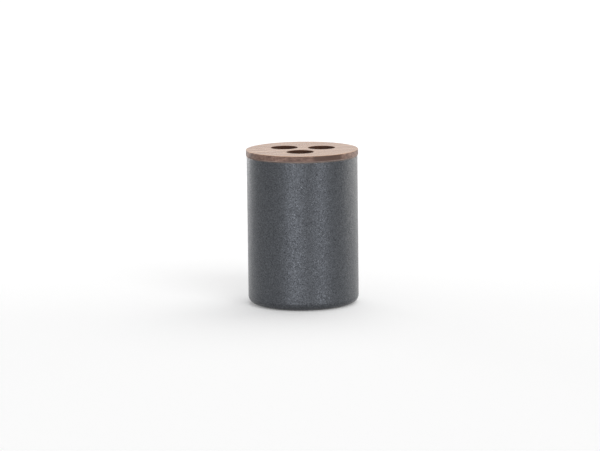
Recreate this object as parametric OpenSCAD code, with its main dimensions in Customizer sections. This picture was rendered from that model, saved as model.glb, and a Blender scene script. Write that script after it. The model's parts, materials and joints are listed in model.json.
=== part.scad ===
// Bathroom brush holder: a deep-drawn steel cup, a non-slip pad in its pressed
// base, and a turned wooden lid that plugs into its mouth with a silicone ring
// and has three round holes. Millimetres, +Z up. The origin is on the table,
// on the cup's axis, and the front of the holder faces -Y.

/* [Cup] */
// Outside diameter of the cup
cup_d = 80; // [70:1:90]
// Height of the steel cup, from its foot to its rim
cup_h = 106.8; // [80:0.1:130]
// Thickness of the drawn sheet
wall_t = 1; // [0.8:0.1:1.5]
// Outside radius between the wall and the base
foot_r = 5; // [3:0.1:8]
// Rounding of the rim's inner and outer edge
rim_ease = 0.3; // [0.1:0.05:0.35]

/* [Pressed base] */
// Width of the flat ring that the foot keeps round the recess
foot_w = 3; // [2:0.1:6]
// Depth of the recess that is pressed into the base
recess_depth = 1; // [0.6:0.1:2]
// Bending radius of the recess on its hollow side
press_r = 0.4; // [0.2:0.1:0.5]

/* [Base pad] */
// Radial clearance of the pad in the recess
pad_clear = 0.5; // [0.2:0.1:1.5]
// How far the pad stands below the steel foot
pad_proud = 0.6; // [0.3:0.1:1.5]
// Rounding of the pad's lower edge
pad_ease = 0.25; // [0.1:0.05:0.5]

/* [Lid] */
// How far the lid's edge stands out past the cup's wall
lid_overhang = 0.5; // [0.4:0.05:2]
// Thickness of the lid above the rim
lid_t = 4.7; // [3:0.1:10]
// Rounding of the lid's upper edge
lid_top_r = 0.4; // [0.2:0.1:1]
// Rounding of the lid's lower edge
lid_under_r = 1; // [0.2:0.1:1.2]

/* [Spigot under the lid] */
// Depth of the spigot below the rim
spigot_h = 6; // [5.5:0.1:12]
// Radial clearance of the spigot in the cup
spigot_clear = 0.8; // [0.5:0.1:1.5]
// Rounding of the spigot's lower edge, which leads it into the cup
lead_r = 0.8; // [0.3:0.1:1]

/* [Seal ring] */
// Distance from the rim down to the ring's groove
groove_drop = 1.6; // [1:0.1:2]
// Height of the groove
groove_h = 2.6; // [2:0.1:2.9]
// Depth of the groove in the spigot
groove_depth = 1.6; // [1:0.1:3]
// Clearance of the ring in its groove
seal_clear = 0.1; // [0.05:0.05:0.2]
// Number of ribs round the ring
rib_count = 2; // [1:1:3]
// Thickness of a rib
rib_t = 0.7; // [0.4:0.05:0.75]
// Clearance between the ribs and the cup's wall
rib_clear = 0.15; // [0.1:0.05:0.3]

/* [Holes in the lid] */
// Number of holes
hole_count = 3; // [1:1:3]
// Diameter of a hole
hole_d = 19.4; // [12:0.1:24]
// Radius of the circle that the holes' centres lie on
hole_circle_r = 15.6; // [14.5:0.1:22]
// Turn of the pattern from one hole straight in front
hole_turn = -5; // [-60:1:60]
// Rounding of a hole's upper and lower edge
hole_ease = 0.3; // [0.1:0.1:1]

/* [Hidden] */
$fn = 96;

// How far a cut runs past the surface that it opens
over = 1;

coat_grey = [0.31, 0.32, 0.34];
pad_black = [0.09, 0.09, 0.1];
walnut = [0.62, 0.47, 0.36];
silicone_grey = [0.72, 0.72, 0.7];

// Heights above the table
foot_z = pad_proud;
recess_z = foot_z + recess_depth;
rim_z = foot_z + cup_h;
top_z = rim_z + lid_t;
spigot_z = rim_z - spigot_h;
groove_z = rim_z - groove_drop - groove_h;
seal_z = groove_z + seal_clear;
seal_h = groove_h - 2 * seal_clear;

// Radii from the cup's axis
cup_r = cup_d / 2;
bore_r = cup_r - wall_t;
recess_r = cup_r - foot_r - foot_w;
pad_r = recess_r - pad_clear;
lid_r = cup_r + lid_overhang;
spigot_r = bore_r - spigot_clear;
groove_r = spigot_r - groove_depth;
seal_in_r = groove_r + seal_clear;
rib_out_r = bore_r - rib_clear;

// What the rounding of a corner at [x, z] takes away. side is 1 where the solid
// lies nearer the axis than the corner and -1 where it lies further out; up is 1
// where it lies above the corner and -1 where it lies below.
module corner_waste(x, z, r, side, up) {
  reach = r + over;
  translate([x - side * r, z + up * r])
    difference() {
      translate([side > 0 ? 0 : -reach, up > 0 ? -reach : 0])
        square(reach);
      circle(r);
    }
}

// Half section of a turned disc, with its lower and upper edge rounded
module disc_section(r, z0, z1, low_r, high_r) {
  difference() {
    translate([0, z0])
      square([r, z1 - z0]);
    if (low_r > 0)
      corner_waste(r, z0, low_r, 1, 1);
    if (high_r > 0)
      corner_waste(r, z1, high_r, 1, -1);
  }
}

// Half section of the space in the cup. The panel above the recess stands up in
// it, so the base keeps the sheet's thickness all the way across.
module cup_space_section() {
  difference() {
    disc_section(bore_r, foot_z + wall_t, rim_z + over, foot_r - wall_t, 0);
    disc_section(recess_r + wall_t, foot_z, recess_z + wall_t, 0, press_r + wall_t);
  }
}

// Deep-drawn steel cup, with a recess pressed up into its base
module cup_shell() {
  color(coat_grey)
    rotate_extrude()
      difference() {
        disc_section(cup_r, foot_z, rim_z, foot_r, rim_ease);
        cup_space_section();
        corner_waste(bore_r, rim_z, rim_ease, -1, -1);
        disc_section(recess_r, foot_z - over, recess_z, 0, press_r);
        corner_waste(recess_r, foot_z, press_r, -1, 1);
      }
}

// Non-slip pad, stuck to the roof of the recess
module base_pad() {
  color(pad_black)
    rotate_extrude()
      disc_section(pad_r, 0, recess_z, pad_ease, press_r);
}

// Half section of the lid: a board that rests on the rim, and below it a spigot
// with the groove of the seal ring
module lid_section() {
  difference() {
    union() {
      disc_section(lid_r, rim_z, top_z, lid_under_r, lid_top_r);
      disc_section(spigot_r, spigot_z, rim_z + over, lead_r, 0);
    }
    translate([groove_r, groove_z])
      square([groove_depth + over, groove_h]);
  }
}

// Cutter of one hole, which flares at both faces of the lid to round its edges
module hole_cutter() {
  rotate_extrude() {
    translate([0, spigot_z - over])
      square([hole_d / 2, top_z - spigot_z + 2 * over]);
    corner_waste(hole_d / 2, top_z, hole_ease, -1, -1);
    corner_waste(hole_d / 2, spigot_z, hole_ease, -1, 1);
  }
}

// Lid, turned from one piece of wood, with its ring of holes
module lid() {
  color(walnut)
    difference() {
      rotate_extrude()
        lid_section();
      for (i = [0 : hole_count - 1])
        rotate(hole_turn - 90 + i * 360 / hole_count)
          translate([hole_circle_r, 0, 0])
            hole_cutter();
    }
}

// Half section of one rib of the seal ring, centred on height z
module rib_section(z) {
  nose_r = rib_t / 2;
  nose_x = rib_out_r - nose_r;
  translate([seal_in_r, z - nose_r])
    square([nose_x - seal_in_r, rib_t]);
  translate([nose_x, z])
    circle(nose_r);
}

// Silicone ring in the spigot's groove, with ribs that reach the cup's wall
module seal_ring() {
  color(silicone_grey)
    rotate_extrude() {
      translate([seal_in_r, seal_z])
        square([spigot_r - seal_in_r, seal_h]);
      for (i = [0 : rib_count - 1])
        rib_section(seal_z + (i + 0.5) * seal_h / rib_count);
    }
}

cup_shell();
base_pad();
lid();
seal_ring();
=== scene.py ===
import json
import math

import bmesh
import bpy
from mathutils import Matrix, Vector


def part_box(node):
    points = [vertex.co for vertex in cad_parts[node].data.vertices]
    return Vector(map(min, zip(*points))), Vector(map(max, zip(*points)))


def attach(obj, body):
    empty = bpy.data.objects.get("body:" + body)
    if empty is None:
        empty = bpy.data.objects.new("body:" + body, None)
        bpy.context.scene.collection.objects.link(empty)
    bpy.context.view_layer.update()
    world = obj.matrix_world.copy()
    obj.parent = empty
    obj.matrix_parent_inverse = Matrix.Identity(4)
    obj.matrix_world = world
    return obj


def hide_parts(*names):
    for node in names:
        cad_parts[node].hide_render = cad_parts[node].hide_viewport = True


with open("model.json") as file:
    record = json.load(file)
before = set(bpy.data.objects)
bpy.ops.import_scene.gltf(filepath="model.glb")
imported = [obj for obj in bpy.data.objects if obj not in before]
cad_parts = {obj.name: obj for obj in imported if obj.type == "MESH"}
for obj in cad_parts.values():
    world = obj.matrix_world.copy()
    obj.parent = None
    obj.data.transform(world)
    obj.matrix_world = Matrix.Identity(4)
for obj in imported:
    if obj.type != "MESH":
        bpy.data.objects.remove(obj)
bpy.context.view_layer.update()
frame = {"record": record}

# Bathroom brush holder: a speckled, powder-coated steel cup on a non-slip pad, under a turned
# walnut lid with three holes and a silicone ring. Metres, +Z up, the front faces -Y.

MM = 0.001

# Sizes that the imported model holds
cup_low, cup_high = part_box("cup_shell")
pad_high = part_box("base_pad")[1]
lid_low, lid_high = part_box("lid")
ring_low, ring_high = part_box("seal_ring")
CUP_R = cup_high.x
FOOT_Z = cup_low.z
RIM_Z = cup_high.z
PAD_R = pad_high.x
RECESS_Z = pad_high.z
LID_R = lid_high.x
TOP_Z = lid_high.z
SPIGOT_Z = lid_low.z
RIB_OUT_R = ring_high.x
holes = [mount for mount in frame["record"]["mounts"] if mount["kind"] == "bore"]
HOLE_R = holes[0]["dims"]["r_mm"] * MM
HOLE_AXES = [(hole["pos_m"][0], hole["pos_m"][1], 0) for hole in holes]

# Sizes of the profiles between them
WALL = 1.0 * MM
FOOT_ROUND = 5.0 * MM
FOOT_FLAT = 3.0 * MM
RIM_EASE = 0.3 * MM
PRESS_ROUND = 0.4 * MM
PAD_EASE = 0.25 * MM
LID_TOP_ROUND = 0.4 * MM
LID_UNDER_ROUND = 1.0 * MM
SPIGOT_GAP = 0.8 * MM
LEAD_ROUND = 0.8 * MM
GROOVE_DEPTH = 1.6 * MM
GROOVE_PLAY = 0.1 * MM
HOLE_EASE = 0.3 * MM

# Ribs of the silicone ring: their thickness, the rounding of their noses, which stays a little
# under half of it, and their places up the ring, in shares of its height
RIB_T = 0.7 * MM
RIB_NOSE = 0.49 * RIB_T
RIB_PLACES = (0.25, 0.75)

# Radii that follow from these sizes
BORE_R = CUP_R - WALL
RECESS_R = CUP_R - FOOT_ROUND - FOOT_FLAT
SPIGOT_R = BORE_R - SPIGOT_GAP
GROOVE_R = SPIGOT_R - GROOVE_DEPTH

# Steps of a full turn, on the pieces and on the lid's holes
TURN_STEPS = 240
HOLE_STEPS = 96

# How near a drawn corner is found, how near the ends of a turn are welded, and the angle up to
# which an edge is shaded smooth
CORNER_NEAR = 0.01 * MM
WELD_NEAR = 0.002 * MM
SMOOTH_UP_TO = math.radians(35)

# Powder coat: widths of its grains, flakes, faint clouds, orange peel, grit and the patches of its
# painted rim highlight
COAT_GRAIN = 0.5 * MM
COAT_FLAKE = 0.4 * MM
COAT_CLOUD = 9 * MM
COAT_PEEL = 1.6 * MM
COAT_GRIT = 0.3 * MM
COAT_PATCH = 3 * MM

# How far the outlines of its grains stray, in shares of their width, how softly they meet, and
# how far its flakes lean
GRAIN_STRAY = 0.9
GRAIN_SOFTNESS = 0.7
FLAKE_LEAN = 0.2

# Its metallic share and its roughness from grain to grain, and what the clouds add to that
COAT_METAL = (0.55, 0.85)
COAT_ROUGHNESS = (0.29, 0.41)
CLOUD_ROUGHNESS = 0.04

# Depths of its peel and its grit
PEEL_DEPTH = 0.02 * MM
GRIT_DEPTH = 0.008 * MM

# How far under the rim its painted highlight begins and is full, how much it shows, and its colour
RIM_HIGHLIGHT_BEGINS = 0.55 * MM
RIM_HIGHLIGHT_FULL = 0.2 * MM
RIM_HIGHLIGHT_SHOWS = 0.9
RIM_HIGHLIGHT_TINT = (0.175, 0.143, 0.130, 1)

# Walnut board: how far its fibres and its dark band are turned out of the X axis
WOOD_TURN = math.radians(-22)
BAND_TURN = math.radians(-27.5)

# How often a metre each of its figures changes, along the fibres, across them and upwards
WANDER_RATE = (14, 70, 70)
FIBRE_RATE = (90, 1500, 1500)
RAY_RATE = (70, 620, 620)
PORE_RATE = (170, 2600, 2600)

# Annual rings: where the origin lies as seen from the heart of the trunk, their width and how
# far they wander
FROM_HEART = (0, 0.075, -0.02)
RING_WIDTH = 3.2 * MM
RING_WANDER = 9 * MM

# Which stretch of the endless rings and rays this board shows
FIRST_RING = 368.75
FIRST_RAY = 1.1

# Share of the rings beside the fibres, and of both of them beside the rays
RING_SHARE = 0.65
BOARD_SHARE = 0.6

# Depths below the polished top between which the turned edge takes over
EDGE_BEGINS = 0.1 * MM
EDGE_FULL = 0.35 * MM

# Dark band along the front edge, full in front of the first place and gone behind the second
BAND_FULL = -39.4 * MM
BAND_GONE = -38.4 * MM

# Painted highlight, a pale line on the lower rounded edge of the board: where it begins and is
# full from left to right, and its heights above the rim: full from the first, fading from the
# second, gone at the third
PALE_BEGINS = -35 * MM
PALE_FULL = -24 * MM
PALE_RISEN = 0.3 * MM
PALE_FADES = 0.6 * MM
PALE_GONE = 1.0 * MM

# How far outside a hole's radius its dark wall of painted shade is still full, and where it is
# gone
BORE_FULL = 0.02 * MM
BORE_GONE = 0.22 * MM

# Colours that are laid over the board's own, on the band, the pale line of painted highlight, the
# pores and the holes, where shade is painted, and how much each of them shows
BAND_BROWN = (0.052, 0.022, 0.013, 1)
BAND_SHOWS = 0.85
PAINTED_HIGHLIGHT_BROWN = (0.34, 0.27, 0.24, 1)
PALE_SHOWS = 0.6
PORE_BROWN = (0.07, 0.036, 0.025, 1)
PORE_SHOWS = 0.5
BORE_SHADE_BROWN = (0.090, 0.037, 0.021, 1)
BORE_SHOWS = 0.85

# Roughness of the turned edge and of the polished top, what a pore adds, and the board's shine
EDGE_ROUGHNESS = 0.55
TOP_ROUGHNESS = 0.27
PORE_ROUGHNESS = 0.15
WOOD_SHINE = 0.45

# Depths of its fibres and its pores
FIBRE_DEPTH = 0.03 * MM
PORE_DEPTH = 0.04 * MM

# Pad rubber: widths of its dust and its grain, and the grain's depth
PAD_DUST = 7 * MM
PAD_GRAIN = 0.25 * MM
PAD_GRAIN_DEPTH = 0.04 * MM

# Silicone: widths of its flow marks and its skin, the skin's depth, and how far light goes in
RING_FLOW = 5 * MM
RING_SKIN = 0.5 * MM
RING_SKIN_DEPTH = 0.02 * MM
RING_MILKINESS = 1.5 * MM

# Floor: its width, how far it lies under the pad and its paint
FLOOR_WIDTH = 14
FLOOR_DROP = 0.05 * MM
FLOOR_PAINT = (0.8, 0.8, 0.8, 1)

# Two places on the floor, from front to back, each with how much brighter than its paint it
# shows there
FLOOR_LIFT_NEAR = (-0.05, 0.22)
FLOOR_LIFT_FAR = (0.5, 0.36)

# How far inside the cup's wall the floor stays dark, and from where it is lifted in full
CONTACT_DARK = 8 * MM
CONTACT_CLEAR = 4 * MM

# Light: how strong it is from all sides, the height that the lamps face, and their tints
EVEN_LIGHT = 0.41
LAMPS_FACE_Z = 0.055
WHITE = (1, 1, 1)
COOL = (0.97, 0.99, 1.04)
WARM = (1.04, 1.0, 0.92)

# Camera: its lens and sensor in millimetres, its place, its aim and its roll
CAMERA_LENS = 180.45
CAMERA_SENSOR = 36
CAMERA_BACK = 2.1484
CAMERA_UP = 0.4018
CAMERA_PITCH = 0.1595
CAMERA_YAW = 0.00095
CAMERA_ROLL = -0.0117


def deselect_all():
    bpy.ops.object.select_all(action="DESELECT")


def select_vertices(piece, wanted):
    """Selects the vertices of the piece in edit mode whose place the test accepts."""
    mesh = bmesh.from_edit_mesh(piece.data)
    for vertex in mesh.verts:
        vertex.select_set(wanted(vertex.co))
    mesh.select_flush_mode()
    bmesh.update_edit_mesh(piece.data)


def draw_section(name, corners):
    """Draws a closed outline in the XZ plane from (radius, height, rounding, segments) corners
    and rounds each corner that has a rounding."""
    deselect_all()
    bpy.ops.mesh.primitive_plane_add(size=MM)
    piece = bpy.context.object
    piece.name = name
    piece.data.name = name
    bpy.ops.object.mode_set(mode="EDIT")
    bpy.ops.mesh.select_mode(type="VERT")
    bpy.ops.mesh.merge(type="CENTER")
    first = corners[0]
    bpy.ops.transform.translate(value=(first[0], 0, first[1]))
    for here, there in zip(corners, corners[1:]):
        step = (there[0] - here[0], 0, there[1] - here[1])
        bpy.ops.mesh.extrude_region_move(TRANSFORM_OT_translate={"value": step})
    bpy.ops.mesh.select_all(action="SELECT")
    bpy.ops.mesh.edge_face_add()
    for radius, height, rounding, segments in corners:
        if rounding > 0:
            place = Vector((radius, 0, height))
            select_vertices(piece, lambda co: (co - place).length < CORNER_NEAR)
            bpy.ops.mesh.bevel(offset=rounding, segments=segments, profile=0.5, affect="VERTICES")
    return piece


def turn(piece, steps):
    """Spins the drawn outline into a closed solid of revolution."""
    bpy.ops.mesh.select_all(action="SELECT")
    bpy.ops.mesh.delete(type="ONLY_FACE")
    bpy.ops.mesh.select_all(action="SELECT")
    bpy.ops.mesh.spin(steps=steps, angle=math.tau, center=(0, 0, 0), axis=(0, 0, 1))
    bpy.ops.mesh.select_all(action="SELECT")
    bpy.ops.mesh.remove_doubles(threshold=WELD_NEAR)
    bpy.ops.mesh.normals_make_consistent(inside=False)
    bpy.ops.object.mode_set(mode="OBJECT")


def smooth(piece):
    """Shades the roundings smooth and keeps the flat faces flat."""
    deselect_all()
    piece.select_set(True)
    bpy.context.view_layer.objects.active = piece
    bpy.ops.object.shade_smooth_by_angle(angle=SMOOTH_UP_TO)
    bpy.ops.object.modifier_add(type="WEIGHTED_NORMAL")
    piece.modifiers[-1].keep_sharp = True
    bpy.ops.object.modifier_apply(modifier=piece.modifiers[-1].name)


def make_cup():
    """Deep-drawn cup: one sheet from the rim down round the foot and up over the recess."""
    floor_z = FOOT_Z + WALL
    panel_z = RECESS_Z + WALL
    panel_r = RECESS_R + WALL
    piece = draw_section(
        "drawn_cup",
        [
            (0, RECESS_Z, 0, 0),
            (RECESS_R, RECESS_Z, PRESS_ROUND, 5),
            (RECESS_R, FOOT_Z, PRESS_ROUND, 5),
            (CUP_R, FOOT_Z, FOOT_ROUND, 16),
            (CUP_R, RIM_Z, RIM_EASE, 4),
            (BORE_R, RIM_Z, RIM_EASE, 4),
            (BORE_R, floor_z, FOOT_ROUND - WALL, 12),
            (panel_r, floor_z, 0, 0),
            (panel_r, panel_z, PRESS_ROUND + WALL, 6),
            (0, panel_z, 0, 0),
        ],
    )
    turn(piece, TURN_STEPS)
    smooth(piece)
    return piece


def make_pad():
    """Non-slip pad in the recess of the base."""
    piece = draw_section(
        "foot_pad",
        [
            (0, 0, 0, 0),
            (PAD_R, 0, PAD_EASE, 4),
            (PAD_R, RECESS_Z, PRESS_ROUND, 4),
            (0, RECESS_Z, 0, 0),
        ],
    )
    turn(piece, TURN_STEPS)
    smooth(piece)
    return piece


def make_ring():
    """Silicone ring with two ribs whose round noses face the cup's wall."""
    inner_r = GROOVE_R + GROOVE_PLAY
    height = ring_high.z - ring_low.z
    corners = [(inner_r, ring_low.z, 0, 0), (SPIGOT_R, ring_low.z, 0, 0)]
    for place in RIB_PLACES:
        middle = ring_low.z + place * height
        corners += [
            (SPIGOT_R, middle - RIB_T / 2, 0, 0),
            (RIB_OUT_R, middle - RIB_T / 2, RIB_NOSE, 5),
            (RIB_OUT_R, middle + RIB_T / 2, RIB_NOSE, 5),
            (SPIGOT_R, middle + RIB_T / 2, 0, 0),
        ]
    corners += [(SPIGOT_R, ring_high.z, 0, 0), (inner_r, ring_high.z, 0, 0)]
    piece = draw_section("rubber_ring", corners)
    turn(piece, TURN_STEPS)
    smooth(piece)
    return piece


def hole_cutter(axis):
    """Cutter of one hole, flared at both faces of the lid so that it rounds their edges."""
    past = 1.0 * MM
    wide = HOLE_R + HOLE_EASE
    piece = draw_section(
        "hole_cutter",
        [
            (0, SPIGOT_Z - past, 0, 0),
            (wide, SPIGOT_Z - past, 0, 0),
            (wide, SPIGOT_Z, 0, 0),
            (HOLE_R, SPIGOT_Z, HOLE_EASE, 4),
            (HOLE_R, TOP_Z, HOLE_EASE, 4),
            (wide, TOP_Z, 0, 0),
            (wide, TOP_Z + past, 0, 0),
            (0, TOP_Z + past, 0, 0),
        ],
    )
    turn(piece, HOLE_STEPS)
    bpy.ops.transform.translate(value=axis)
    return piece


def make_lid():
    """Walnut lid: a board with a grooved spigot, turned in one, and its three holes."""
    groove_low = ring_low.z - GROOVE_PLAY
    groove_high = ring_high.z + GROOVE_PLAY
    piece = draw_section(
        "walnut_lid",
        [
            (0, SPIGOT_Z, 0, 0),
            (SPIGOT_R, SPIGOT_Z, LEAD_ROUND, 6),
            (SPIGOT_R, groove_low, 0, 0),
            (GROOVE_R, groove_low, 0, 0),
            (GROOVE_R, groove_high, 0, 0),
            (SPIGOT_R, groove_high, 0, 0),
            (SPIGOT_R, RIM_Z, 0, 0),
            (LID_R, RIM_Z, LID_UNDER_ROUND, 8),
            (LID_R, TOP_Z, LID_TOP_ROUND, 5),
            (0, TOP_Z, 0, 0),
        ],
    )
    turn(piece, TURN_STEPS)
    cutters = [hole_cutter(axis) for axis in HOLE_AXES]
    for cutter in cutters:
        deselect_all()
        piece.select_set(True)
        bpy.context.view_layer.objects.active = piece
        bpy.ops.object.modifier_add(type="BOOLEAN")
        cut = piece.modifiers[-1]
        cut.operation = "DIFFERENCE"
        cut.solver = "EXACT"
        cut.object = cutter
        bpy.ops.object.modifier_apply(modifier=cut.name)
        bpy.data.objects.remove(cutter)
    smooth(piece)
    return piece


class Finish:
    """A node material in the making: its Principled shader and its Object coordinates."""

    def __init__(self, name):
        self.material = bpy.data.materials.new(name)
        self.material.use_nodes = True
        self.tree = self.material.node_tree
        self.tree.nodes.clear()
        out = self.node("ShaderNodeOutputMaterial")
        self.shader = self.node("ShaderNodeBsdfPrincipled")
        self.place = self.node("ShaderNodeTexCoord").outputs["Object"]
        axes = self.axes(self.place)
        self.side, self.height = axes["X"], axes["Z"]
        self.tree.links.new(self.shader.outputs["BSDF"], out.inputs["Surface"])

    def node(self, kind, inputs=None, **settings):
        """Adds a node. Each of its inputs gets a value or the output of another node."""
        made = self.tree.nodes.new(kind)
        for name, value in settings.items():
            setattr(made, name, value)
        for key, value in (inputs or {}).items():
            self.feed(made.inputs[key], value)
        return made

    def feed(self, socket, value):
        if isinstance(value, bpy.types.NodeSocket):
            self.tree.links.new(value, socket)
        else:
            socket.default_value = value

    def axes(self, place):
        return self.node("ShaderNodeSeparateXYZ", {"Vector": place}).outputs

    def stretch(self, scale, turned, shift=(0, 0, 0)):
        """Object coordinates, turned about Z, shifted and then scaled."""
        inputs = {"Vector": self.place, "Rotation": (0, 0, turned), "Location": shift}
        upright = self.node("ShaderNodeMapping", inputs).outputs[0]
        inputs = {"Vector": upright, "Scale": scale}
        return self.node("ShaderNodeMapping", inputs).outputs[0]

    def noise(self, place, width=1.0, detail=2.0, roughness=0.5):
        """Soft random levels in patches about this wide."""
        inputs = {"Vector": place, "Scale": 1 / width, "Detail": detail, "Roughness": roughness}
        return self.node("ShaderNodeTexNoise", inputs).outputs["Fac"]

    def vector(self, operation, first, second=(0, 0, 0), third=(0, 0, 0)):
        inputs = {0: first, 1: second, 2: third}
        return self.node("ShaderNodeVectorMath", inputs, operation=operation).outputs[0]

    def distance(self, first, second=(0, 0, 0)):
        inputs = {0: first, 1: second}
        made = self.node("ShaderNodeVectorMath", inputs, operation="DISTANCE")
        return made.outputs["Value"]

    def grains(self, width, soft=False):
        """A random colour in each grain of this width. The outlines are ragged, and soft grains
        run into each other."""
        stray = GRAIN_STRAY * width
        inputs = {"Vector": self.place, "Scale": 2 / width, "Detail": 2.0}
        ragged = self.node("ShaderNodeTexNoise", inputs).outputs["Color"]
        place = self.vector("MULTIPLY_ADD", ragged, (stray, stray, stray), self.place)
        inputs = {"Vector": place, "Scale": 1 / width}
        made = self.node("ShaderNodeTexVoronoi", inputs, feature="SMOOTH_F1" if soft else "F1")
        if soft:
            made.inputs["Smoothness"].default_value = GRAIN_SOFTNESS
        return made.outputs["Color"]

    def channels(self, colour):
        return self.node("ShaderNodeSeparateColor", {"Color": colour}).outputs[:3]

    def tilt(self, normal, lean, amount):
        """Turns the normal a little in the direction that a random colour gives."""
        centred = self.vector("SUBTRACT", lean, (0.5, 0.5, 0.5))
        leaning = self.vector("MULTIPLY_ADD", centred, (amount, amount, amount), normal)
        return self.vector("NORMALIZE", leaning)

    def level(self, source, low, high, at_low=0.0, at_high=1.0):
        """Maps the range from low to high onto another one, without going past its ends."""
        inputs = {"Value": source, "From Min": low, "From Max": high}
        inputs.update({"To Min": at_low, "To Max": at_high})
        made = self.node("ShaderNodeMapRange", inputs, interpolation_type="SMOOTHSTEP")
        return made.outputs[0]

    def maths(self, operation, first, second):
        inputs = {0: first, 1: second}
        return self.node("ShaderNodeMath", inputs, operation=operation).outputs[0]

    def blend(self, share, first, second):
        """The first level by this share and the second by the rest of it."""
        part = self.maths("MULTIPLY", first, share)
        rest = self.maths("MULTIPLY", second, 1 - share)
        return self.maths("ADD", part, rest)

    def ramp(self, source, stops):
        """Colours between (place, colour) stops."""
        made = self.node("ShaderNodeValToRGB", {"Fac": source})
        points = made.color_ramp.elements
        while len(points) < len(stops):
            points.new(1.0)
        for point, (place, colour) in zip(points, stops):
            point.position = place
            point.color = (*colour, 1)
        return made.outputs["Color"]

    def tint(self, amount, first, second, blend_type="MIX"):
        """Mixes the second colour into the first. Sockets 6 and 7 are the mix node's colours."""
        inputs = {"Factor": amount, 6: first, 7: second}
        made = self.node("ShaderNodeMix", inputs, data_type="RGBA", blend_type=blend_type)
        return made.outputs[2]

    def relief(self, height, depth, strength, under=None):
        """Bump of this depth in metres, on top of an earlier one."""
        inputs = {"Height": height, "Distance": depth, "Strength": strength}
        if under:
            inputs["Normal"] = under
        return self.node("ShaderNodeBump", inputs).outputs["Normal"]

    def set(self, **values):
        """Sets or joins sockets of the shader, with _ for the spaces in their names."""
        for name, value in values.items():
            self.feed(self.shader.inputs[name.replace("_", " ")], value)


def coat_finish():
    """Dark grey powder coat: ragged grains of close tones, tilted flakes, a gritty skin, a painted
    shade that darkens it towards the top, and a pale painted highlight under the rim, in patches."""
    coat = Finish("speckled_powder_coat")
    tone, metal, gloss = coat.channels(coat.grains(COAT_GRAIN, soft=True))
    colour = coat.ramp(
        tone,
        [
            (0.0, (0.031, 0.034, 0.039)),
            (0.15, (0.055, 0.059, 0.066)),
            (0.5, (0.073, 0.078, 0.087)),
            (0.85, (0.091, 0.097, 0.107)),
            (1.0, (0.120, 0.127, 0.138)),
        ],
    )
    clouds = coat.noise(coat.place, COAT_CLOUD, detail=3.0, roughness=0.6)
    cloud_tone = coat.ramp(clouds, [(0.3, (0.93, 0.93, 0.93)), (0.7, (1.0, 1.0, 1.0))])
    colour = coat.tint(1.0, colour, cloud_tone, "MULTIPLY")
    # Painted shade: the coat is painted darker towards the top and lighter towards the foot, for
    # how the light falls on it
    share_up = coat.maths("DIVIDE", coat.height, RIM_Z)
    painted_shade_towards_top = coat.ramp(share_up, [(0.0, (1.0, 1.0, 1.0)), (1.0, (0.87, 0.87, 0.87))])
    colour = coat.tint(1.0, colour, painted_shade_towards_top, "MULTIPLY")
    # Painted highlight: a pale warm line painted just under the rim, broken into patches
    patches = coat.noise(coat.place, COAT_PATCH, detail=3.0, roughness=0.6)
    highlight_patches = coat.level(patches, low=0.30, high=0.60, at_low=0.5, at_high=1.0)
    rim = coat.level(coat.height, RIM_Z - RIM_HIGHLIGHT_BEGINS, RIM_Z - RIM_HIGHLIGHT_FULL, 0.0, RIM_HIGHLIGHT_SHOWS)
    colour = coat.tint(coat.maths("MULTIPLY", rim, highlight_patches), colour, RIM_HIGHLIGHT_TINT)
    coat.set(Base_Color=colour)
    coat.set(Metallic=coat.level(metal, 0.0, 1.0, *COAT_METAL))
    roughness = coat.level(gloss, 0.0, 1.0, *COAT_ROUGHNESS)
    cloudy = coat.maths("MULTIPLY", clouds, CLOUD_ROUGHNESS)
    coat.set(Roughness=coat.maths("ADD", roughness, cloudy))
    peel = coat.noise(coat.place, COAT_PEEL)
    grit = coat.noise(coat.place, COAT_GRIT)
    skin = coat.relief(peel, PEEL_DEPTH, strength=0.6)
    skin = coat.relief(grit, GRIT_DEPTH, strength=0.7, under=skin)
    coat.set(Normal=coat.tilt(skin, coat.grains(COAT_FLAKE), FLAKE_LEAN))
    return coat.material


def bore_mask(wood):
    """1 on the walls of the lid's holes, where shade is painted, and 0 elsewhere."""
    flat = wood.vector("MULTIPLY", wood.place, (1, 1, 0))
    nearest = wood.distance(flat, HOLE_AXES[0])
    for axis in HOLE_AXES[1:]:
        nearest = wood.maths("MINIMUM", wood.distance(flat, axis), nearest)
    return wood.level(nearest, HOLE_R + BORE_FULL, HOLE_R + BORE_GONE, 1.0, 0.0)


def band_mask(wood):
    """1 in the dark band along the front edge of the board and 0 behind it."""
    depth = wood.axes(wood.stretch((1, 1, 1), BAND_TURN))["Y"]
    return wood.level(depth, BAND_FULL, BAND_GONE, 1.0, 0.0)


def painted_highlight_mask(wood):
    """1 on the painted highlight, a pale line along the lower edge of the board, and 0 elsewhere.
    """
    risen = wood.level(wood.height, RIM_Z, RIM_Z + PALE_RISEN)
    fading = wood.level(wood.height, RIM_Z + PALE_FADES, RIM_Z + PALE_GONE, 1.0, 0.0)
    line = wood.maths("MULTIPLY", risen, fading)
    return wood.maths("MULTIPLY", line, wood.level(wood.side, PALE_BEGINS, PALE_FULL))


def annual_rings(wood):
    """Rings that lie round a far line along the board, bent by a slow wander."""
    wander = wood.noise(wood.stretch(WANDER_RATE, WOOD_TURN))
    heart_r = wood.distance(wood.stretch((0, 1, 1), WOOD_TURN, FROM_HEART))
    bent_r = wood.maths("ADD", heart_r, wood.maths("MULTIPLY", wander, RING_WANDER))
    ring_count = wood.maths("ADD", wood.maths("DIVIDE", bent_r, RING_WIDTH), FIRST_RING)
    inputs = {"W": ring_count, "Scale": 1.0, "Detail": 3.0}
    return wood.node("ShaderNodeTexNoise", inputs, noise_dimensions="1D").outputs["Fac"]


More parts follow.
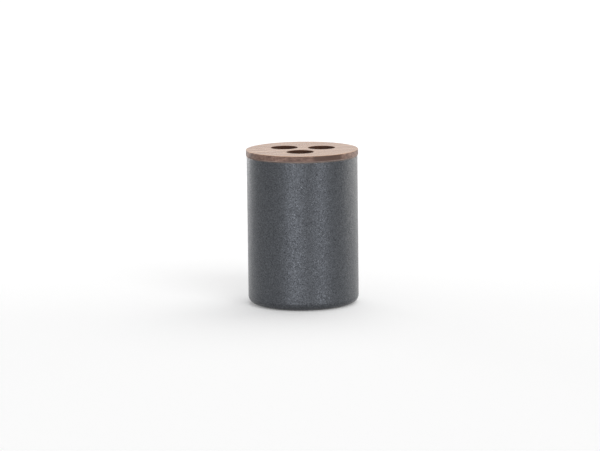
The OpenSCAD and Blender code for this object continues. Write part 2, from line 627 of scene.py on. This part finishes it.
def walnut_finish():
    """Oiled walnut: annual rings, long fibres, rays and open pores that run along the board, a
    dark band and a painted highlight line on its turned edge, light painted on its top, shade
    painted on its edge, and holes darkened with painted shade."""
    wood = Finish("oiled_walnut")
    fibres = wood.noise(wood.stretch(FIBRE_RATE, WOOD_TURN), detail=4.0, roughness=0.65)
    ray_place = wood.stretch(RAY_RATE, WOOD_TURN, (FIRST_RAY, 0, 0))
    rays = wood.noise(ray_place, detail=3.0, roughness=0.6)
    pores = wood.noise(wood.stretch(PORE_RATE, WOOD_TURN))
    board = wood.blend(RING_SHARE, annual_rings(wood), fibres)
    figure = wood.blend(BOARD_SHARE, board, rays)
    pore = wood.level(pores, low=0.60, high=0.68)
    top = wood.level(wood.height, TOP_Z - EDGE_FULL, TOP_Z - EDGE_BEGINS)
    bore = bore_mask(wood)
    # Painted light: the top's colours are far lighter than the edge's, partly the board's own tone
    # and partly light painted onto the top
    painted_lit_top = wood.ramp(
        board,
        [
            (0.30, (0.26, 0.132, 0.072)),
            (0.45, (0.39, 0.214, 0.122)),
            (0.55, (0.51, 0.290, 0.172)),
            (0.70, (0.64, 0.390, 0.248)),
        ],
    )
    # Painted shade: the turned edge's colours are far darker, partly its grain and partly shade
    # painted onto the side
    turned = wood.ramp(
        figure,
        [
            (0.36, (0.048, 0.023, 0.016)),
            (0.45, (0.108, 0.058, 0.042)),
            (0.54, (0.178, 0.103, 0.077)),
            (0.64, (0.300, 0.190, 0.148)),
        ],
    )
    band = wood.maths("MULTIPLY", band_mask(wood), BAND_SHOWS)
    # Painted highlight: the pale line where the lower rounded edge faces the bright floor
    pale = wood.maths("MULTIPLY", painted_highlight_mask(wood), PALE_SHOWS)
    turned = wood.tint(band, turned, BAND_BROWN)
    turned = wood.tint(pale, turned, PAINTED_HIGHLIGHT_BROWN)
    colour = wood.tint(top, turned, painted_lit_top)
    colour = wood.tint(wood.maths("MULTIPLY", pore, PORE_SHOWS), colour, PORE_BROWN)
    # Painted shade: the walls of the holes are darkened, partly dark end grain and partly shade
    # painted in the hollow
    colour = wood.tint(wood.maths("MULTIPLY", bore, BORE_SHOWS), colour, BORE_SHADE_BROWN)
    roughness = wood.level(top, 0.0, 1.0, EDGE_ROUGHNESS, TOP_ROUGHNESS)
    roughness = wood.maths("ADD", roughness, wood.maths("MULTIPLY", pore, PORE_ROUGHNESS))
    wood.set(Specular_IOR_Level=WOOD_SHINE)
    wood.set(Base_Color=colour, Roughness=wood.maths("MAXIMUM", roughness, bore))
    grooves = wood.relief(fibres, FIBRE_DEPTH, strength=0.5)
    hollow = wood.maths("SUBTRACT", 1.0, pore)
    wood.set(Normal=wood.relief(hollow, PORE_DEPTH, strength=0.6, under=grooves))
    return wood.material


def rubber_finish():
    """Matt black pad with a fine grain and a little dust."""
    rubber = Finish("black_pad_rubber")
    dust = rubber.noise(rubber.place, PAD_DUST, detail=4.0, roughness=0.65)
    black = rubber.ramp(dust, [(0.35, (0.014, 0.014, 0.015)), (0.75, (0.035, 0.034, 0.033))])
    dull = rubber.level(dust, low=0.3, high=0.8, at_low=0.68, at_high=0.88)
    rubber.set(Base_Color=black, Roughness=dull)
    grain = rubber.noise(rubber.place, PAD_GRAIN)
    rubber.set(Normal=rubber.relief(grain, PAD_GRAIN_DEPTH, strength=0.8))
    return rubber.material


def silicone_finish():
    """Milky grey silicone with a soft sheen and faint flow marks."""
    silicone = Finish("grey_silicone")
    flow = silicone.noise(silicone.place, RING_FLOW, detail=3.0)
    grey = silicone.ramp(flow, [(0.3, (0.44, 0.44, 0.42)), (0.7, (0.53, 0.53, 0.51))])
    sheen = silicone.level(flow, low=0.3, high=0.7, at_low=0.34, at_high=0.46)
    silicone.set(Base_Color=grey, Roughness=sheen)
    silicone.set(Subsurface_Weight=0.3, Subsurface_Scale=RING_MILKINESS)
    skin = silicone.noise(silicone.place, RING_SKIN)
    silicone.set(Normal=silicone.relief(skin, RING_SKIN_DEPTH, strength=0.5))
    return silicone.material


def finish_piece(piece, material, body, node):
    piece.data.materials.clear()
    piece.data.materials.append(material)
    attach(piece, body)
    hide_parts(node)


def seen_rays(nodes, links):
    """1 for rays from the camera, in reflections and through glass, and 0 for soft light."""
    path = nodes.new("ShaderNodeLightPath")
    seen = path.outputs["Is Camera Ray"]
    for kind in ("Is Glossy Ray", "Is Transmission Ray"):
        either = nodes.new("ShaderNodeMath")
        either.operation = "MAXIMUM"
        links.new(seen, either.inputs[0])
        links.new(path.outputs[kind], either.inputs[1])
        seen = either.outputs[0]
    return seen


def stage_material():
    """White floor that brightens towards the back, as one that curves up into a lit backdrop,
    and that isn't brightened in the dark gap under the cup."""
    material = bpy.data.materials.new("studio_white")
    material.use_nodes = True
    nodes = material.node_tree.nodes
    links = material.node_tree.links
    nodes.clear()
    out = nodes.new("ShaderNodeOutputMaterial")
    paint = nodes.new("ShaderNodeBsdfDiffuse")
    paint.inputs["Color"].default_value = FLOOR_PAINT
    place = nodes.new("ShaderNodeTexCoord")
    split = nodes.new("ShaderNodeSeparateXYZ")
    lift = nodes.new("ShaderNodeMapRange")
    lift.inputs["From Min"].default_value = FLOOR_LIFT_NEAR[0]
    lift.inputs["To Min"].default_value = FLOOR_LIFT_NEAR[1]
    lift.inputs["From Max"].default_value = FLOOR_LIFT_FAR[0]
    lift.inputs["To Max"].default_value = FLOOR_LIFT_FAR[1]
    away = nodes.new("ShaderNodeVectorMath")
    away.operation = "LENGTH"
    beyond = nodes.new("ShaderNodeMapRange")
    beyond.inputs["From Min"].default_value = CUP_R - CONTACT_DARK
    beyond.inputs["From Max"].default_value = CUP_R - CONTACT_CLEAR
    open_lift = nodes.new("ShaderNodeMath")
    open_lift.operation = "MULTIPLY"
    glow_level = nodes.new("ShaderNodeMath")
    glow_level.operation = "MULTIPLY"
    glow = nodes.new("ShaderNodeEmission")
    both = nodes.new("ShaderNodeAddShader")
    links.new(place.outputs["Object"], split.inputs[0])
    links.new(split.outputs["Y"], lift.inputs["Value"])
    links.new(place.outputs["Object"], away.inputs[0])
    links.new(away.outputs["Value"], beyond.inputs["Value"])
    links.new(lift.outputs[0], open_lift.inputs[0])
    links.new(beyond.outputs[0], open_lift.inputs[1])
    links.new(open_lift.outputs[0], glow_level.inputs[0])
    links.new(seen_rays(nodes, links), glow_level.inputs[1])
    links.new(glow_level.outputs[0], glow.inputs["Strength"])
    links.new(paint.outputs[0], both.inputs[0])
    links.new(glow.outputs[0], both.inputs[1])
    links.new(both.outputs[0], out.inputs["Surface"])
    return material


def make_floor():
    deselect_all()
    bpy.ops.mesh.primitive_plane_add(size=FLOOR_WIDTH, location=(0, 0, -FLOOR_DROP))
    floor = bpy.context.object
    floor.name = "floor"
    floor.data.materials.append(stage_material())


def set_world(level):
    """White behind everything for the camera and in reflections, and soft light from all sides."""
    world = bpy.data.worlds.new("studio")
    bpy.context.scene.world = world
    world.use_nodes = True
    nodes = world.node_tree.nodes
    links = world.node_tree.links
    nodes.clear()
    out = nodes.new("ShaderNodeOutputWorld")
    light = nodes.new("ShaderNodeBackground")
    light.inputs["Color"].default_value = (*WHITE, 1)
    light.inputs["Strength"].default_value = level
    white = nodes.new("ShaderNodeBackground")
    white.inputs["Color"].default_value = (*WHITE, 1)
    white.inputs["Strength"].default_value = 1.0
    pick = nodes.new("ShaderNodeMixShader")
    links.new(seen_rays(nodes, links), pick.inputs[0])
    links.new(light.outputs[0], pick.inputs[1])
    links.new(white.outputs[0], pick.inputs[2])
    links.new(pick.outputs[0], out.inputs["Surface"])


def towards(azimuth, elevation):
    """Direction from the object; azimuth 0 is the front, 90 the right."""
    a, e = math.radians(azimuth), math.radians(elevation)
    return Vector((math.sin(a) * math.cos(e), -math.cos(a) * math.cos(e), math.sin(e)))


def softbox(name, azimuth, elevation, distance, width, height, power, colour):
    """An area lamp that faces the middle of the object."""
    middle = Vector((0, 0, LAMPS_FACE_Z))
    away = towards(azimuth, elevation)
    lamp = bpy.data.lights.new(name, "AREA")
    lamp.shape = "RECTANGLE"
    lamp.size = width
    lamp.size_y = height
    lamp.energy = power
    lamp.color = colour
    stand = bpy.data.objects.new(name, lamp)
    stand.location = middle + away * distance
    stand.rotation_euler = away.to_track_quat("Z", "Y").to_euler()
    stand.visible_camera = False
    bpy.context.scene.collection.objects.link(stand)


def sun(name, azimuth, elevation, strength, spread):
    """A very soft far light, which falls alike on the whole floor."""
    lamp = bpy.data.lights.new(name, "SUN")
    lamp.energy = strength
    lamp.angle = math.radians(spread)
    stand = bpy.data.objects.new(name, lamp)
    stand.rotation_euler = towards(azimuth, elevation).to_track_quat("Z", "Y").to_euler()
    bpy.context.scene.collection.objects.link(stand)


def set_lamps():
    """Two soft suns for the floor and the lid, two wide softboxes that shine on the front of the
    cup, and two low ones behind it for its sides."""
    sun("key", azimuth=160, elevation=60, strength=1.09, spread=60)
    sun("fill", azimuth=25, elevation=35, strength=0.95, spread=40)
    front = {"elevation": 2, "distance": 4.0, "height": 0.34, "colour": COOL}
    softbox("front_left", azimuth=-16.5, width=2.1, power=36, **front)
    softbox("front_right", azimuth=37, width=1.3, power=23.5, **front)
    rear = {"elevation": 3, "distance": 1.6, "height": 0.24}
    softbox("rim_right", azimuth=124, width=1.6, power=6.7, colour=WARM, **rear)
    softbox("rim_left", azimuth=-145, width=0.5, power=4.7, colour=WHITE, **rear)


def set_camera():
    """The photograph's view: a long lens, a little above the lid and rolled a little."""
    camera = bpy.data.cameras.new("camera")
    camera.lens = CAMERA_LENS
    camera.sensor_width = CAMERA_SENSOR
    stand = bpy.data.objects.new("camera", camera)
    bpy.context.scene.collection.objects.link(stand)
    aim = Matrix.Rotation(CAMERA_YAW, 4, "Z") @ Matrix.Rotation(math.pi / 2 - CAMERA_PITCH, 4, "X")
    place = Matrix.Translation((0, -CAMERA_BACK, CAMERA_UP))
    stand.matrix_world = place @ aim @ Matrix.Rotation(CAMERA_ROLL, 4, "Z")
    bpy.context.scene.camera = stand


cup = make_cup()
pad = make_pad()
lid = make_lid()
ring = make_ring()
finish_piece(cup, coat_finish(), "cup", "cup_shell")
finish_piece(pad, rubber_finish(), "cup", "base_pad")
finish_piece(lid, walnut_finish(), "lid", "lid")
finish_piece(ring, silicone_finish(), "seal", "seal_ring")

make_floor()
set_world(EVEN_LIGHT)
set_lamps()
set_camera()

bpy.context.scene.view_settings.view_transform = "Standard"
